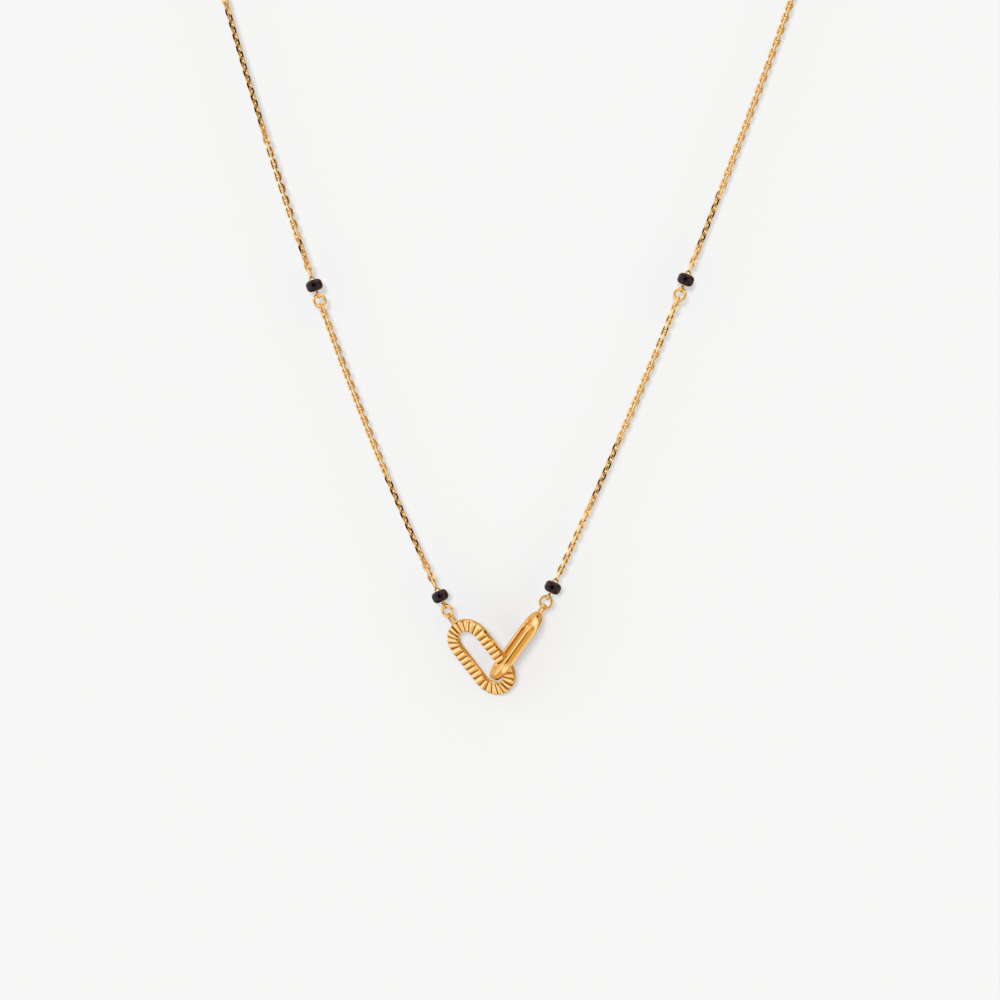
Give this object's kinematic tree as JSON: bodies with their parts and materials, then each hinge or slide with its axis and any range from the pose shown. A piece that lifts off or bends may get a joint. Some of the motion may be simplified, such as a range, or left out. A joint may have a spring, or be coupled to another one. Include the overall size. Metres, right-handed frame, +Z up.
{
  "type": "mangalsutra necklace",
  "caption": "Fine gold chain necklace with black beads on pins and a fluted and a polished oblong link hooked together at the front.",
  "frame": {"origin": "under the clasp at the top of the loop, where the necklace rests on the nape; it hangs down from there", "axes": "+Z up, +X to the right as seen from the front, the front faces -Y and the loop lies in the XZ plane"},
  "size_m": [0.1027, 0.0077, 0.1913],
  "materials": {
    "gold": "polished yellow gold",
    "black_bead": "polished black stone or glass"
  },
  "bodies": {
    "root": {"fluted_link": "gold", "polished_link": "gold", "ring_lower_left": "gold", "ring_lower_right": "gold", "ring_upper_left": "gold", "ring_upper_right": "gold", "pin_lower_left": "gold", "pin_lower_right": "gold", "pin_upper_left": "gold", "pin_upper_right": "gold", "bead_lower_left": "black_bead", "bead_lower_right": "black_bead", "bead_upper_left": "black_bead", "bead_upper_right": "black_bead", "chain_lower_left": "gold", "chain_lower_right": "gold", "chain_upper_left": "gold", "chain_upper_right": "gold", "back_chain_left": "gold", "back_chain_right": "gold", "clasp": "gold"}
  },
  "joints": []
}
